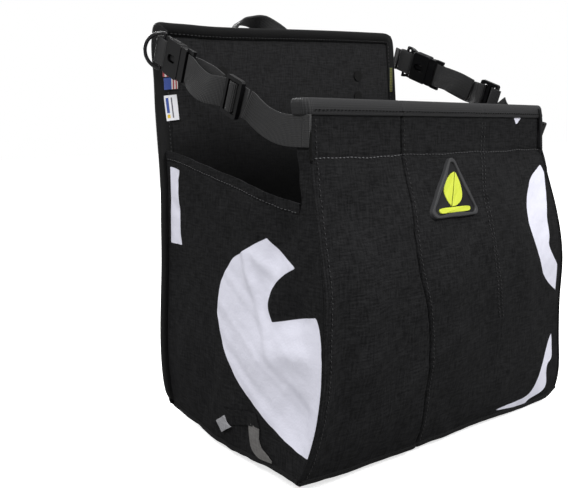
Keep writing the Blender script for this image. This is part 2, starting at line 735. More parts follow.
def side_wall(sign, name):
    """Folding wall with a turned hem along its sloping top, and the hem's stitching."""
    share = np.linspace(0, 1, 122)
    rise = dense([0, 0.03, 0.9, 0.955, 0.965, 1], [6, 118, 8, 4, 8])
    y_want = SIDE_START + (FLANGE_Y - SIDE_START) * share
    top = knots(y_want, SIDE_TOP)
    z = rise[:, None] * top[None, :]
    points = side_point(sign, share[None, :] * side_cut(sign, z), z)
    top_gap = top[None, :] - z
    crease = 0.35 * np.exp(-((top_gap - HEM) ** 2))
    points[..., 0] += sign * (0.5 * step(top_gap, HEM - 0.4, HEM - 1.4) - crease)
    uv = np.stack([np.broadcast_to(y_want, z.shape), z], -1)
    if sign > 0:
        points, uv = points[:, ::-1], uv[:, ::-1]
    obj = sheet(name, points, uv, 1.6, inner=1)
    field = patch_field(uv[..., 0], uv[..., 1], SIDE_PATCHES) if sign < 0 else np.full(z.shape, NO_PRINT)
    attribute(obj, "print", field)
    gusset = "gusset_left" if sign < 0 else "gusset_right"
    dress(obj, None, cloth, lining, nodes=[gusset], slot="coated_fabric")
    line_z = top - (HEM - 2.0)
    line = side_point(sign, share * side_cut(sign, line_z), line_z)
    line[:, 0] += sign * 0.9
    stitches(name + "_hem_thread", [(line[2:-1], (sign, 0, 0))], thread_mid, None)


side_wall(-1, "side_wall_left")
side_wall(1, "side_wall_right")

# ---------------------------------------------------------------- front with both corner returns
# Depth at a height of the free edge of each return, left then right.
FREE_EDGES = (
    [(-12, -104), (214, -104), (221, -107), (240, -104), (263, -101), (302, -101)],
    [(-12, -104), (214, -104), (221, -104), (240, -101), (263, -95), (302, -92)],
)


def corner_return(sign, z, free_y, shares):
    """Return round a front corner, from its free edge to the seam: points and their depths."""
    y_seam = seam(sign, z)[1]
    y = free_y + (y_seam - free_y) * shares
    return side_point(sign, side_share(y, y_seam), np.broadcast_to(z, y.shape)), y


def front_shell():
    """Front cloth with both corner returns in one sheet, eased where it turns the corners."""
    levels = dense([0, 8, 250, 256, 258, 287, 291, 300], [6, 110, 6, 4, 14, 6, 5])
    z = levels[:, None]
    shares = np.linspace(0, 1, 16)[None, :]
    last = shares.size - 1
    across = dense([0, 0.02, 0.305, 0.395, 0.625, 0.695, 0.98, 1], [5, 56, 42, 38, 34, 46, 5])
    middle = front_point(across[None, :], np.broadcast_to(z, (len(levels), len(across))))
    left, yl = corner_return(-1, z, knots(z, FREE_EDGES[0]), shares)
    right, yr = corner_return(1, z, knots(z, FREE_EDGES[1]), shares)
    right_share = np.maximum(shares**2, step(z, 214, 262))
    for part, sign, share in ((left, -1, shares**2), (right, 1, right_share)):
        drop = front_point(front_end(sign), z)[..., 2] - z
        part[..., 2] += (drop - (part[..., 2] - z)) * share
    right, yr = right[:, ::-1], yr[:, ::-1]
    points = np.concatenate([left[:, :-1], middle, right[:, 1:]], 1)
    for _ in range(5):
        for c in (last, last + len(across) - 1):
            near = slice(c - 3, c + 4)
            beside = points[:, c - 4 : c + 3] + points[:, c - 2 : c + 5]
            points[:, near] = 0.5 * points[:, near] + 0.25 * beside
    run = np.broadcast_to(across * FRONT_SPAN, middle.shape[:2])
    levels_wide = np.broadcast_to(z, middle.shape[:2])
    u = np.concatenate([-yl[:, :-1] - 400, run, 800 + yr[:, 1:]], 1)
    uv = np.stack([u, np.broadcast_to(z, u.shape)], -1)
    field_left = patch_field(yl[:, :-1], np.broadcast_to(z, yl[:, :-1].shape), SIDE_PATCHES)
    field_front = patch_field(run, levels_wide, FRONT_PATCHES)
    obj = sheet("front_shell", points, uv, 1.7, inner=1)
    attribute(obj, "print", np.concatenate([field_left, field_front, np.full(yr[:, 1:].shape, NO_PRINT)], 1))
    nodes = ("front_panel", "front_corner_left", "front_corner_right")
    dress(obj, "bag_front", cloth, lining, nodes=nodes, slot="coated_fabric")


front_shell()


def front_line(u_values, z_values, lift):
    """Line of points just in front of the front cloth."""
    line = front_point(np.asarray(u_values, float), np.asarray(z_values, float))
    line[..., 1] -= lift
    return line


def front_stitching():
    """Threads along the turned hem, the upright seams and the stiff band."""
    out = (0, -1, 0)
    steps = np.linspace(0.012, 0.985, 150)
    hem_row = front_line(steps, TUCK - 1.0 + 0.5 * np.sin(steps * 23) + 0.3 * np.sin(steps * 61), 0.9)
    stitches("hem_thread", [(hem_row[:48], out)], thread_grey, "bag_front", 2.6, 1.7, 0.46)
    stitches("hem_thread_far", [(hem_row[48:], out)], thread_mid, "bag_front", 2.6, 1.7, 0.42)
    ups = np.linspace(96, 286, 70)
    rows = [front_line(knots(ups, SEAM_TWO) + side, ups, 0.6) for side in (-0.007, 0.007)]
    ups = np.linspace(3, 286, 90)
    rows += [front_line(knots(ups, PLEAT) + 0.012, ups, 0.4), front_line(np.full(90, 0.018), ups, 0.5)]
    stitches("panel_thread", [(row, out) for row in rows], thread_dark, "bag_front", radius=0.36)
    band_row = front_line(steps, np.full(150, 292.8), 3.3)
    stitches("band_thread", [(band_row, out)], thread_black, "bag_front", 2.2, 1.8, 0.5)


front_stitching()


def rim_point(k, z):
    """Front rim: k below 0 runs back along the left return, above 1 back along the right one."""
    k, z = np.broadcast_arrays(np.asarray(k, float), np.asarray(z, float))
    points = front_point(np.clip(k, 0, 1), z)
    for sign, past, free_edge in zip((-1, 1), (-k, k - 1), FREE_EDGES):
        y_seam = seam(sign, z)[1]
        y = y_seam + (free_edge[-1][1] - y_seam) * np.clip(past, 0, 1)
        side = side_point(sign, side_share(y, y_seam), z)
        side[..., 2] = front_point(front_end(sign), z)[..., 2]
        points = np.where((past > 0)[..., None], side, points)
    return points


def hem_fold():
    """The stiff band folded over the front's top edge to the inside."""
    profile = [
        (0.4, 289.6), (2.4, 290.0), (2.9, 291), (2.9, 298), (2.5, 300.2), (0.8, 301.3), (-3.4, 301.2),
        (-4.6, 299.6), (-4.7, 292), (-4.7, 284), (-4.7, 276), (-4.7, 268), (-4.7, 260), (-4.7, 254),
        (-4.0, 252.6),
    ]
    k = np.concatenate([np.linspace(-1, 0, 9)[:-1], np.linspace(0, 1, 170), np.linspace(1, 2, 9)[1:]])
    middle = 280.0
    plain = rim_point(k, middle)
    plain_x = plain[:, 0].copy()
    for _ in range(3):
        for c in (8, len(k) - 9):
            near = slice(c - 2, c + 3)
            plain[near] = 0.5 * plain[near] + 0.25 * (plain[c - 3 : c + 2] + plain[c - 1 : c + 4])
    ahead = np.gradient(plain, axis=0)
    outward = unit(np.stack([ahead[:, 1], -ahead[:, 0], 0 * ahead[:, 0]], -1))
    rows = []
    for lift, z in profile:
        level = min(z, FRONT_H)
        base = rim_point(k, level)
        row = plain + outward * lift
        row[:, 1] += arc(level) - arc(middle)
        row[:, 0] += base[:, 0] - plain_x
        row[:, 2] = base[:, 2] + z - level
        rows.append(row)
    uv = np.stack(np.meshgrid(run_along(plain), np.arange(len(rows)) * 4.0), -1)[..., ::-1]
    obj = sheet("hem_fold", np.array(rows), uv, 0.9, 1.0)
    dress(obj, "bag_front", hem_band, nodes=("front_hem", "hem_stay"), slot="lining_fabric")


hem_fold()


# ---------------------------------------------------------------- floor of the bag
def bag_floor():
    """Sagging floor, folding with the side walls."""
    v = np.linspace(0, 1, 60)[:, None]
    w = np.linspace(0, 1, 90)[None, :]
    y = BACK_IN - 1.0 + (-118 - BACK_IN) * v
    share = side_share(y, -132.0)
    left, right = side_point(-1, share, 0.0), side_point(1, share, 0.0)
    front = front_point(w * np.ones_like(v), 0.0)
    x = left[..., 0] + 1.4 + (right[..., 0] - left[..., 0] - 2.8) * w
    yy = BACK_IN - 1.0 + (front[..., 1] + 1.2 - BACK_IN) * v
    edge = left[..., 2] * (1 - w) ** 3 + right[..., 2] * w**3
    z = edge + (front[..., 2] - edge) * v**4 + 0.8 - 2.2 * np.sin(math.pi * v) * np.sin(math.pi * w)
    z = z + 0.9 * np.sin(w * 21 + v * 5) * np.sin(v * 13) * np.sin(math.pi * w)
    obj = sheet("floor_cloth", np.stack([x, yy, z], -1), np.stack([x, yy], -1), 2.4, 1.0, inner=1)
    dress(obj, None, lining, lining, nodes=("bottom_panel", "bottom_lining"), slot="coated_fabric")


bag_floor()


# ---------------------------------------------------------------- tall back with its edge tape
# Top edge of the back, as (place across, height).
BACK_TOP = [(-172, 383.6), (-120, 380.2), (-60, 381.0), (-19, 382.3), (68, 384.6), (152, 386.0)]


def back_outline():
    """Closed outline of the back seen from the front, x and z, with soft corners."""
    left = [(back_left(z), z) for z in np.linspace(14, 372, 60)]
    top = [(x, float(knots(x, BACK_TOP))) for x in np.linspace(-156, 144, 60)]
    right = [(back_right(z), z) for z in np.linspace(374, 12, 60)]
    bottom = [(x, -3.5 * math.sin(math.pi * (x + 165) / 330)) for x in np.linspace(165, -165, 40)]
    points = left + [(-161.5, 380), (-160, 385.5)] + top + [(152, 383.5)]
    points += right + [(174, 3)] + bottom + [(-172, 3)]
    path = np.array([(x, 0, z) for x, z in points + points[:1]])
    return resample(path, 3.0)[:-1]


def round_loop(path, times):
    """Closed path, its corners eased."""
    for _ in range(times):
        path = 0.5 * path + 0.25 * (np.roll(path, 1, 0) + np.roll(path, -1, 0))
    return path


def back_board():
    """Both faces of the tall back."""
    rows = np.linspace(0, 1, 110)[:, None]
    cols = np.linspace(0, 1, 90)[None, :]
    span = 0.5 - 0.5 * np.cos(math.pi * cols)
    low, high = -2.0, knots(-165 + 330 * span, BACK_TOP) - 2.0
    z = low + (high - low) * rows
    left, right = back_left(z) + 2.0, back_right(z) - 2.0
    x = left + (right - left) * span
    ease = np.sin(math.pi * rows) * np.sin(math.pi * span)
    wrinkle = ridge(x, z, (-120, 300), (-40, 350), 22, 0.8) + ridge(x, z, (20, 330), (120, 250), 30, -0.8)
    wrinkle = wrinkle + ridge(x, z, (-60, 60), (80, 120), 34, 0.9)
    wrinkle = wrinkle + ridge(x, z, (-130, 210), (-60, 130), 26, -0.7)
    for name, y, turn, material, slot, nodes in (
        ("back_inside", 106.6, 1, lining, "lining_fabric", ("back_lining", "back_stiffener")),
        ("back_outside", 112.4, -1, cloth, "coated_fabric", ("back_panel",)),
    ):
        points = np.stack([x, y + (0.25 * ease + 0.3 * wrinkle) * turn + back_curl(x, z), z], -1)
        uv = np.stack([x, z], -1)
        obj = sheet(name, points[:, ::turn], uv[:, ::turn], 1.4)
        attribute(obj, "print", np.full(z.shape, NO_PRINT))
        dress(obj, "bag_back", material, nodes=nodes, slot=slot)


back_board()


def edge_tape():
    """Tape bound over the edge of the back, with a row of stitches on each face."""
    path = round_loop(back_outline(), 6)
    path[:, 1] = BACK_MID
    tangent = np.roll(path, -1, 0) - np.roll(path, 1, 0)
    outward = unit(np.cross((0, 1, 0), tangent))
    if (outward * (path - path.mean(0))).sum() < 0:
        outward = -outward
    lip, half, wall = 11.0, 4.2, 1.0
    profile = [
        (-lip, -half), (-1, -half), (0.6, -half + 0.5), (1.3, -half + 2), (1.4, 0),
        (1.3, half - 2), (0.6, half - 0.5), (-1, half), (-lip, half), (-lip, half - wall),
        (-1, half - wall), (0.2, 0), (-1, -half + wall), (-lip, -half + wall),
    ]
    obj = sweep("edge_tape", path, outward, profile, closed=True)
    for v in obj.data.vertices:
        v.co.y += float(back_curl(v.co.x / MM, v.co.z / MM)) * MM
    dress(obj, "bag_back", tape, nodes=["back_binding"], slot="edge_tape")
    rows = []
    for turn in (-1, 1):
        line = path - outward * 9.2
        line[:, 1] = BACK_MID + turn * (half + 0.1) + back_curl(line[:, 0], line[:, 2])
        rows.append((np.vstack([line, line[:1]]), (0, turn, 0)))
    stitches("edge_thread", rows, thread_dark, "bag_back")


edge_tape()


def bound_seam(name, path, across, outline, material, body=None):
    """Rounded strip along a seam."""
    dress(sweep(name, path, across, outline), body, material, slot="edge_tape")


def lower_piping():
    """Bound seams along the lower edges and up the front corners."""
    rim = round_outline(1.9, height=2.6)
    for sign, name in ((-1, "left"), (1, "right")):
        end = front_end(sign)
        cut = side_cut(sign, 0.0)
        path = side_point(sign, np.linspace(0.0, 1.0, 90) * cut, 0.0) + (-sign * 0.4, 0, -1.0)
        bound_seam("floor_seam_" + name, path, (sign, 0, 0), rim, tape)
        path = side_point(sign, np.linspace(cut - 0.01, 0.99, 16), 0.0)
        drop = front_point(end, 0.0)[2] - path[:, 2]
        path[:, 2] += drop * np.linspace(0, 1, 16) ** 2 - 1.0
        path[:, 0] -= sign * 0.4
        bound_seam("floor_seam_return_" + name, path, (sign, 0, 0), rim, tape, "bag_front")
        z = np.linspace(1, 285, 150)
        x_seam, y_seam = seam(sign, z)
        path = np.stack([x_seam - sign * 0.35, y_seam + 0.15, front_point(end, z)[:, 2]], -1)
        cord = round_outline(0.9, height=1.6)
        bound_seam("corner_seam_" + name, path, (sign * 0.7, -0.7, 0), cord, plain_cloth, "bag_front")
    path = front_point(0.985, np.linspace(257, 298.6, 26)) + (0, -2.6, 0)
    cord = round_outline(2.0, height=1.9)
    bound_seam("corner_binding_right", path, (0.7, 0.7, 0), cord, black_rubber, "bag_front")
    path = front_point(0.0, np.linspace(254, 289, 20)) + (-0.6, -0.9, 0)
    cord = round_outline(1.2, 8)
    bound_seam("corner_binding_left", path, (0.7, -0.7, 0), cord, thread_black, "bag_front")
    path = front_point(np.linspace(0.0, 1.0, 150), np.zeros(150)) + (0, 0.6, -0.8)
    bound_seam("floor_seam_front", path, (0, -1, 0), rim, tape, "bag_front")


lower_piping()

# ---------------------------------------------------------------- side straps
STRAP_LIFT = 6.2 / math.cos(LEAN)
S0 = np.array([half_width(358) + STRAP_LIFT, 108, 358.0])
S1 = np.array([half_width(272) + STRAP_LIFT, -108, 272.0])
STRAP_L = float(np.linalg.norm(S1 - S0))
ALONG = (S1 - S0) / STRAP_L
OUTWARD = np.array([math.cos(LEAN), 0, math.sin(LEAN)])
ACROSS = np.cross(ALONG, OUTWARD)


def strap_place(side, s, t, w=0.0):
    """A point given along, outwards from and across the strap."""
    s, t, w = (np.asarray(v, float)[..., None] for v in np.broadcast_arrays(s, t, w))
    p = S0 + ALONG * s + OUTWARD * t + ACROSS * w
    return p * (side, 1, 1)


def strap_band(name, side, path, width, thickness, body, node, twist=None, part=(-1e9, 1e9)):
    """Webbing along (s, t, w) points; twist gives the turn of its width in degrees along it.

    Only the points whose place in the path lies between the two numbers of part are made.
    """
    line = spline([tuple(p) + (0,) * (3 - len(p)) for p in path], 1.6)
    centre = strap_place(side, line[:, 0], line[:, 1], line[:, 2])
    share = np.linspace(0, 1, len(line))
    turn = np.radians(knots(share, twist)) if twist else 0 * share
    across = ACROSS * (side, 1, 1)
    outward = OUTWARD * (side, 1, 1)
    facing = np.cos(turn)[:, None] * across + np.sin(turn)[:, None] * outward
    kept = slice(*(int(np.clip(end, 0, len(line))) for end in part))
    obj = sweep(name, centre[kept], facing[kept], flat_outline(width, thickness))
    return dress(obj, body, webbing, nodes=[node] if node else [], slot="webbing")


def loop_path(s0, s1, t):
    """Closed loop of webbing seen from its edge."""
    ends = []
    for s, angle in ((s1 - t, -math.pi / 2), (s0 + t, math.pi / 2)):
        turn = np.linspace(angle, angle + math.pi, 12)
        ends.append(np.stack([s + t * np.cos(turn), t * np.sin(turn)], -1))
    out = np.linspace((s0 + t, -t), (s1 - t, -t), 24)
    home = np.linspace((s1 - t, t), (s0 + t, t), 24)
    return np.concatenate([out[:-1], ends[0], home[1:-1], ends[1]])


def strap_thread(name, side, boxes, body):
    """Two rows of stitches per box (s0, s1, w0, w1, t), across the strap."""
    rows = []
    for s0, s1, w0, w1, t in boxes:
        for s in (s0, s1):
            line = strap_place(side, s, t, np.linspace(w0, w1, 20))
            rows.append((line, OUTWARD * (side * (1 if t > 0 else -1), 1, 1)))
    stitches(name, rows, thread_dark, body, 2.0, 1.1, 0.36)


WEAVE_START = 127.0  # where along the strap the weave through the adjuster starts
# Paths below are (along, outwards, across) the strap.
DOUBLED = [
    (118, -2.2, 0), (100, -3.2, 1.5), (80, -3.0, 1.0), (70, -2.6, 0), (63.4, -2.0, 0),
    (61.9, 0, 0), (63.4, 2.0, 0), (70, 2.8, -0.3), (84, 4.6, -3.5), (102, 4.8, -5),
    (117, 2.0, -2.5), (128, -2.0, -0.6), (134.6, -2.9, 0), (135.6, 0, 0), (136.8, 2.9, 0),
    (143.2, 2.9, 0), (144.4, 0, 0), (145.4, -2.9, 0), (152, -3.1, 0), (157.4, -2.6, 0),
]
DOUBLED_TWIST = [(0, 0), (0.2, 6), (0.36, 0), (0.46, -10), (0.58, -16), (0.7, -4), (0.8, 0), (1, 0)]
SINGLE = {
    "left": [
        (158.3, -2.5, 0), (163, -4.3, -1), (171, -4.7, -2.8), (185, -4.7, -4.4), (200, -4.8, -3.8),
        (212, -5.0, -1.4), (224, -5.2, 2.6), (232, -5.2, 5.6), (239.8, -5.2, 8.6),
    ],
    "right": [
        (158.3, -2.5, 0), (164, -4.2, -5.4), (172, -4.7, -11.5), (184, -4.7, -14.8),
        (196, -4.6, -15), (207, -4.2, -14), (214, -3.0, -12.6), (219.6, -1.8, -12),
        (221.8, -3.0, -11.8), (220.8, -5.2, -11.6), (216.6, -6.4, -11.4),
    ],
}
SINGLE_END = {"left": STRAP_L - 1.0, "right": 214.0}


def side_strap(side, name):
    """One side's webbing from the back's edge to the front corner."""
    rear, front = "rear_strap_" + name, "front_strap_" + name
    # folded tab sewn to the back's edge
    tab = [(-5.4, -3.4), (-2.6, -3.5), (-0.2, -4.1), (2.2, -4.3)]
    strap_band("tab_back_" + name, side, tab, 25, 2.2, "bag_back", "anchor_tab_" + name)
    # loop through the ring and the buckle
    closed = loop_path(1.0, 22.4, 2.9)
    centre = strap_place(side, closed[:, 0], closed[:, 1])
    outline = flat_outline(25, 1.3)
    loop = sweep("loop_back_" + name, centre, ACROSS * (side, 1, 1), outline, closed=True)
    dress(loop, rear, webbing, nodes=["anchor_loop_" + name], slot="webbing")
    boxes = [(3.4, 6.6, -11, 11, t) for t in (3.7, -3.7)]
    strap_thread("loop_thread_" + name, side, boxes, rear)
    # doubled run between buckle and slider, then the weave through it
    whole = spline(DOUBLED, 1.6)
    going_back = np.arange(len(whole)) > len(whole) // 2
    top_run = int(np.argmax((whole[:, 0] > WEAVE_START) & (whole[:, 1] < 0) & going_back))
    below, beyond = (0, top_run + 1), (top_run, 1e9)
    node_name = "strap_rear_" + name
    doubled = strap_band("web_rear_" + name, side, DOUBLED, 25, 1.3, rear, node_name, DOUBLED_TWIST, below)
    anchor = strap_place(side, WEAVE_START, 0) * MM
    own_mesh(doubled)
    strap_band("web_weave_" + name, side, DOUBLED, 25, 1.3, rear, None, DOUBLED_TWIST, beyond)
    # single run to the front corner, then the end sewn flat on it
    run = spline(SINGLE[name], 1.2)
    first = int(np.argmax(run[:, 0] > SINGLE_END[name]))
    single = np.vstack([run[:first:3], run[first]])
    strap_band("web_front_" + name, side, single, 25, 1.4, front, "strap_front_" + name)
    strap_band("tab_front_" + name, side, run[first:], 25, 2.0, "bag_front", "strap_tab_" + name)


side_strap(-1, "left")
side_strap(1, "right")


# ---------------------------------------------------------------- hardware straight from the CAD
def finish_cad(name, material, bevel):
    """Eased edges, material and slot for a moulded or metal piece."""
    obj = cad[name]
    mod = obj.modifiers.new("edge", "BEVEL")
    mod.width = bevel * MM
    mod.segments = 3
    mod.limit_method = "ANGLE"
    mod.angle_limit = math.radians(35)
    obj.data.materials.clear()
    obj.data.materials.append(material)


for side in ("left", "right"):
    for part in ("buckle_socket_", "buckle_plug_", "tri_glide_"):
        finish_cad(part + side, plastic, 0.45)
    finish_cad("d_ring_" + side, ring_mat, 0.2)
    finish_cad("rack_hook_" + side, hook_mat, 0.5)
    finish_cad("hook_rivets_" + side, black_steel, 0.35)
finish_cad("elastic_hook", steel, 0.2)


# ---------------------------------------------------------------- carrying handle
HANDLE_PATH = [
    (-68.6, 117, 370.8), (-67.3, 119, 377), (-65.0, 122, 384.5), (-59.2, 122.5, 390.2),
    (-47.6, 121.5, 391.6), (-35.4, 119.5, 389.6), (-22, 118, 384.8), (-9, 117.3, 378.6), (1, 117, 370.8),
]
# Turn of the web's width in degrees, by share of its length.
HANDLE_TWIST = [
    (0, 80), (0.07, 42), (0.15, 15), (0.3, 15), (0.4, 22), (0.5, 42), (0.62, 72), (0.75, 84), (1, 88),
]


def back_row(a, b, y, count):
    """Straight row of points between two (x, z) at one depth."""
    return np.linspace((a[0], y, a[1]), (b[0], y, b[1]), count)


def handle():
    """Webbing grip swinging on the back, its two feet and their stitching."""
    line = spline(HANDLE_PATH, 1.5)
    turn = np.radians(knots(np.linspace(0, 1, len(line)), HANDLE_TWIST))[:, None]
    tangent = unit(np.gradient(line, axis=0))
    up = unit(np.cross((0, 1, 0), tangent))
    across = np.cos(turn) * (0, 1, 0) + np.sin(turn) * up
    obj = sweep("handle_web", line, across, flat_outline(20, 2.6, 0.4))
    dress(obj, "handle", webbing, nodes=["carry_handle"], slot="webbing")
    face = np.cross(tangent, across)
    rows = []
    first = len(line) // 2
    for lift in (-7.6, 7.6):
        for turned in (-1, 1):
            row = (line + across * lift + face * turned * 1.35)[first:-4]
            rows.append((row, face[-len(line) // 4] * turned))
    stitches("handle_thread", rows, thread_dark, "handle", 2.0, 1.2, 0.34)
    for name, x in (("left", -69.0), ("right", 3.0)):
        foot = [(x, 113.7, z) for z in np.linspace(344.4, 370.2, 14)]
        patch = sweep("handle_foot_" + name, foot, (1, 0, 0), flat_outline(25, 1.7))
        dress(patch, "bag_back", webbing, nodes=["handle_patch_" + name], slot="webbing")
        corners = [(x - 10, 347), (x + 10, 347), (x + 10, 367), (x - 10, 367), (x - 10, 347)]
        lines = list(zip(corners, corners[1:])) + [(corners[0], corners[2]), (corners[1], corners[3])]
        rows = [(back_row(a, b, 114.6, 20), (0, 1, 0)) for a, b in lines]
        stitches("foot_thread_" + name, rows, thread_dark, "bag_back", 2.0, 1.1, 0.36)


handle()


# ---------------------------------------------------------------- elastic keeper on the back
def keeper():
    """Elastic cord between two sewn patches, drawn down to its hook."""
    y = 119.0
    half = [(6, 85.2), (12, 96), (24, 122), (44, 166), (60, 202)]
    line = spline([(-x, z) for x, z in half[::-1]] + [(0, 83.4)] + half, 2.0)
    centre = np.stack([line[:, 0], np.full(len(line), y), line[:, 1]], -1)
    obj = sweep("elastic_cord_web", centre, (0, 1, 0), round_outline(2.5, 14))
    obj.data.materials.append(elastic_mat)
    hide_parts("elastic_cord")
    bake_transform(obj)
    wide, high, level = 10.5, 11.6, 202
    for sign, name in ((-1, "left"), (1, "right")):
        x = sign * 60
        px, pz = np.meshgrid(np.linspace(-wide, wide, 22), np.linspace(-high, high, 22))
        slope = np.array((sign * 54.0, 118.0)) / math.hypot(54, 118)
        gap = np.abs(px * slope[1] - pz * slope[0])
        past = px * slope[0] + pz * slope[1]
        bulge = 6.6 * np.exp(-((gap / 4.2) ** 2)) * step(past, 7, -2)
        edge = np.maximum(np.abs(px) / wide, np.abs(pz) / high)
        depth = 114.3 + bulge * step(edge, 1.02, 0.8) + 0.4 * step(edge, 1.0, 0.9)
        points = np.stack([px + x, depth, pz + level], -1)[:, ::-1]
        patch = sheet("cord_patch_" + name, points, points[..., (0, 2)], 1.2)
        dress(patch, "bag_back", webbing, nodes=["cord_anchor_" + name], slot="webbing")
        inset = 0.9 * wide
        corners = [(x - inset, 191), (x - inset, 213), (x + inset, 213), (x + inset, 191), (x - inset, 191)]
        rows = [(back_row(a, b, 115.2, 16), (0, 1, 0)) for a, b in zip(corners, corners[1:])]
        stitches("cord_patch_thread_" + name, rows, thread_dark, "bag_back", 2.0, 1.2, 0.34)


keeper()


# ---------------------------------------------------------------- small sewn labels
def label(name, x0, x1, z0, z1, y, material, node, slot, tilt=0.0, shear=0.0):
    """Small cloth label on the back's inner face, slightly curled at its free edge."""
    a, b = np.meshgrid(np.linspace(0, 1, 14), np.linspace(0, 1, 16))
    x = x0 + (x1 - x0) * a + shear * (1 - b)
    z = z0 + (z1 - z0) * b + tilt * (a - 0.5)
    depth = y - 0.25 - 0.4 * np.sin(math.pi * b) * a + back_curl(x, z)
    obj = sheet(name, np.stack([x, depth, z], -1), np.stack([x, z], -1), 0.5)
    set_uv(obj.data, "share", np.stack([a, b], -1))
    dress(obj, "bag_back", material, nodes=[node], slot=slot)


CREAM, CORAL, BLUE, YELLOW = (0.72, 0.70, 0.68), (0.42, 0.05, 0.06), (0.035, 0.075, 0.32), (0.75, 0.50, 0.03)
DARK, TICK = (0.10, 0.10, 0.12), (0.34, 0.35, 0.03)
bars = striped_label("label_bars", CREAM, [(k / 7, (k + 1) / 7, 0.0, 1.0, CORAL) for k in (0, 2, 4, 6)])
plain_blue = striped_label(
    "label_plain_blue",
    CREAM,
    [(0.0, 0.55, 0.0, 1.0, BLUE), (0.64, 0.74, 0.0, 1.0, CORAL), (0.84, 0.94, 0.0, 1.0, CORAL)],
)
blocks = striped_label(
    "label_blocks",
    (0.80, 0.80, 0.84),
    [(0.12, 0.34, 0.30, 0.90, BLUE), (0.12, 0.34, 0.10, 0.24, YELLOW), (0.52, 0.62, 0.10, 0.90, DARK)],
)
ticks = [(x, x + 0.22, k / 15, (k + 0.45) / 15, TICK) for k in range(15) for x in (0.16, 0.60)]
ticked = striped_label("label_ticks", (0.010, 0.010, 0.010), ticks)
label("label_bars", -158.4, -146.4, 331.6, 342.6, 104.9, bars, "label_striped", "label_woven", 0.5)
label("label_plain", -157.6, -145.4, 319.2, 330.6, 104.9, plain_blue, "label_blue", "label_blue_cloth", 0.8)
label("label_tall", -158.4, -146.8, 288.8, 313.6, 104.9, blocks, "label_blocks", "label_woven", 1.2, 1.2)
label("label_yellow", 146.4, 152.0, 318, 347, 104.8, ticked, "label_edge", "label_dark")


# ---------------------------------------------------------------- reflective pieces low on both sides
def side_patch(name, sign, outline_rows, material, node, lift, thickness=0.6):
    """Patch laid on a side wall; outline_rows are rows of (y, z) points."""
    uv = np.array(outline_rows, float)
    y, z = uv[..., 0], uv[..., 1]
    points = side_point(sign, side_share(y, seam(sign, z)[1]), z)
    points[..., 0] += sign * lift
    obj = sheet(name, points, uv, thickness, 1.0)
    probe = obj.data.polygons[len(obj.data.polygons) // 2].normal.x
    if probe * sign < 0:
        obj.data.flip_normals()
    dress(obj, None, material, nodes=[node] if node else [], slot="reflective")


def quad_rows(corners, rows=8, cols=8):
    """Grid of points filling four corners."""
    a, b, c, d = (np.array(p, float) for p in corners)
    u = np.linspace(0, 1, cols)[None, :, None]
    v = np.linspace(0, 1, rows)[:, None, None]
    return (a * (1 - u) + b * u) * (1 - v) + (d * (1 - u) + c * u) * v


def arc_rows(line, width):
    """Rows of points along a curved strip whose half width follows its length."""
    line = spline(line, 2.0)
    tangent = unit(np.gradient(line, axis=0))
    side = np.stack([-tangent[:, 1], tangent[:, 0]], -1)
    half = knots(np.linspace(0, 1, len(line)), width)[:, None]
    return [line + side * half * k for k in (-1, -0.5, 0, 0.5, 1)]


TAB = quad_rows([(11.3, 19.0), (-1.6, 26.0), (-13.6, 20.0), (4.2, 10.9)])
KEEPER_LOOP = quad_rows([(2, 31), (-52, 39), (-57, 29), (-10, 21)], 6, 24)
STRIP_LINE = [(-47, 28.5), (-46.7, 17), (-54, 8.6), (-63, 5.6), (-73, 4)]
STRIP = arc_rows(STRIP_LINE, [(0, 9.6), (0.4, 8.4), (0.7, 4.6), (1, 1.0)])
for sign, name in ((-1, "left"), (1, "right")):
    side_patch("reflect_tab_" + name, sign, TAB, silver_tape, "reflective_tab_" + name, 1.8, 1.2)
    side_patch("keeper_loop_" + name, sign, KEEPER_LOOP, plain_cloth, None, 0.5, 1.0)
    side_patch("reflect_strip_" + name, sign, STRIP, grey_tape, "reflective_strip_" + name, 0.9)


# ---------------------------------------------------------------- rubber badge with a leaf
# Corners of the badge, as (distance across the front, height).
BADGE = [(121.0, 199.6), (192.4, 198.2), (169.4, 256.0)]


def corner_of(outline, i):
    """Unit vectors from a corner to its neighbours, half the angle between them, and its bisector."""
    p = outline[i]
    a, b = unit(np.array([outline[i - 1] - p, outline[(i + 1) % len(outline)] - p]))
    half = math.acos(float(np.clip(a @ b, -1, 1))) / 2
    return a, b, half, (a + b) / np.linalg.norm(a + b)


def rounded(corners, radius):
    """Rounded outline from its corners, anticlockwise."""
    points = [np.array(p, float) for p in corners]
    out = []
    for i, p in enumerate(points):
        a, b, half, middle = corner_of(points, i)
        reach = radius / math.tan(half)
        centre = p + middle * radius / math.sin(half)
        start, stop = p + a * reach - centre, p + b * reach - centre
        t0, t1 = math.atan2(start[1], start[0]), math.atan2(stop[1], stop[0])
        if t1 < t0:
            t1 += 2 * math.pi
        out += [centre + radius * np.array((math.cos(t), math.sin(t))) for t in np.linspace(t0, t1, 10)]
    path = np.array([(x, 0, z) for x, z in out + out[:1]])
    return resample(path, 1.2)[:-1][:, (0, 2)]


def on_front(flat, lift):
    """(span, z) points set on the front, raised by lift."""
    flat = np.asarray(flat, float)
    base = front_point(flat[:, 0] / FRONT_SPAN, flat[:, 1])
    tilt = front_point(flat[:, 0] / FRONT_SPAN, flat[:, 1] + 1.0) - base
    normal = unit(np.cross(tilt, (1.0, 0.33, 0.0)))
    return base + normal * np.where(normal[:, 1:2] > 0, -1, 1) * lift


